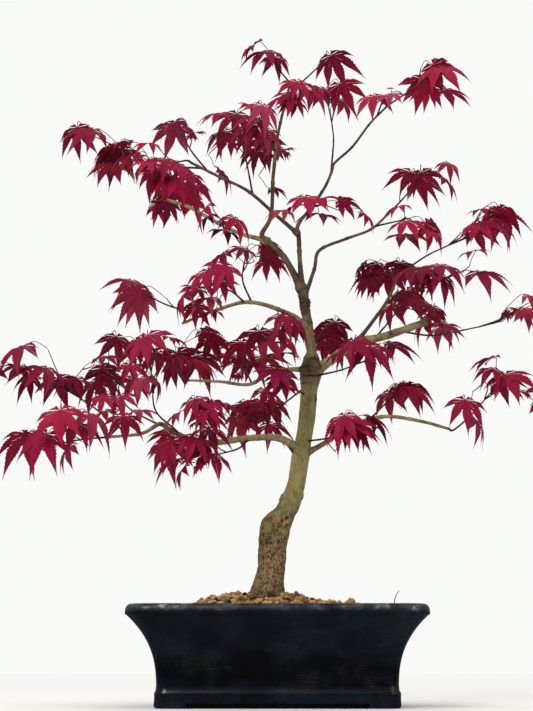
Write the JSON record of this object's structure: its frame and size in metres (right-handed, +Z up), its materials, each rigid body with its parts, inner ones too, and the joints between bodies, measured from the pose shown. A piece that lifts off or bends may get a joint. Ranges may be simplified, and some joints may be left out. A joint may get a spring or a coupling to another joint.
{
  "type": "japanese maple bonsai",
  "caption": "Small leaning maple tree with spreading boughs and deep red palmate leaves, in a glazed rectangular pot with a rolled rim.",
  "frame": {"origin": "middle of the pot's flat underside, on the surface that it stands on", "axes": "+Z up, +X along the pot's long side to the right as seen from the front, -Y to the front"},
  "size_m": [0.4919, 0.2406, 0.5942],
  "materials": {
    "glaze": "glossy dark navy glaze on stoneware",
    "soil": "loose baked-clay granules, matte",
    "bark": "thin olive to grey-brown bark",
    "leaves": "thin deep red leaves, soft satin"
  },
  "bodies": {
    "root": {"pot": "glaze", "soil": "soil", "trunk": "bark", "bough_low_left": "bark", "bough_low_left_end": "bark", "bough_left": "bark", "bough_mid_left": "bark", "limb_upper_left": "bark", "leader": "bark", "limb_high_left": "bark", "limb_centre": "bark", "limb_centre_right": "bark", "limb_centre_left": "bark", "limb_high_right": "bark", "limb_thin_right": "bark", "limb_right": "bark", "limb_right_rise": "bark", "bough_low_right": "bark", "leaves_far_left_low": "leaves", "leaves_far_left_high": "leaves", "leaves_left_high": "leaves", "leaves_left_rise": "leaves", "leaves_left_under": "leaves", "leaves_left_hanging": "leaves", "leaves_left_front": "leaves", "leaves_left_mid_end": "leaves", "leaves_left_mid_near": "leaves", "leaves_left_diag": "leaves", "leaves_trunk_left_front": "leaves", "leaves_mid_left": "leaves", "leaves_mid_left_far": "leaves", "leaves_mid_left_up": "leaves", "leaves_mid_left_near": "leaves", "leaves_high_left_end": "leaves", "leaves_high_left_near": "leaves", "leaves_top_left": "leaves", "leaves_top_right": "leaves", "leaves_apex": "leaves", "leaves_leader_front": "leaves", "leaves_leader_back": "leaves", "leaves_centre_left_mid": "leaves", "leaves_centre_left_far": "leaves", "leaves_centre_left_up": "leaves", "leaves_centre_left_rise": "leaves", "leaves_centre_right_up": "leaves", "leaves_high_right": "leaves", "leaves_high_right_far": "leaves", "leaves_high_right_near": "leaves", "leaves_thin_right_mid": "leaves", "leaves_centre_right_front": "leaves", "leaves_right_rise_top": "leaves", "leaves_right_far": "leaves", "leaves_right_mid_far": "leaves", "leaves_right_mid_near": "leaves", "leaves_right_low_twig": "leaves", "leaves_right_front": "leaves", "leaves_trunk_right_back": "leaves", "leaves_low_right_front": "leaves", "leaves_low_right_mid": "leaves", "leaves_low_right_end": "leaves"}
  },
  "joints": []
}
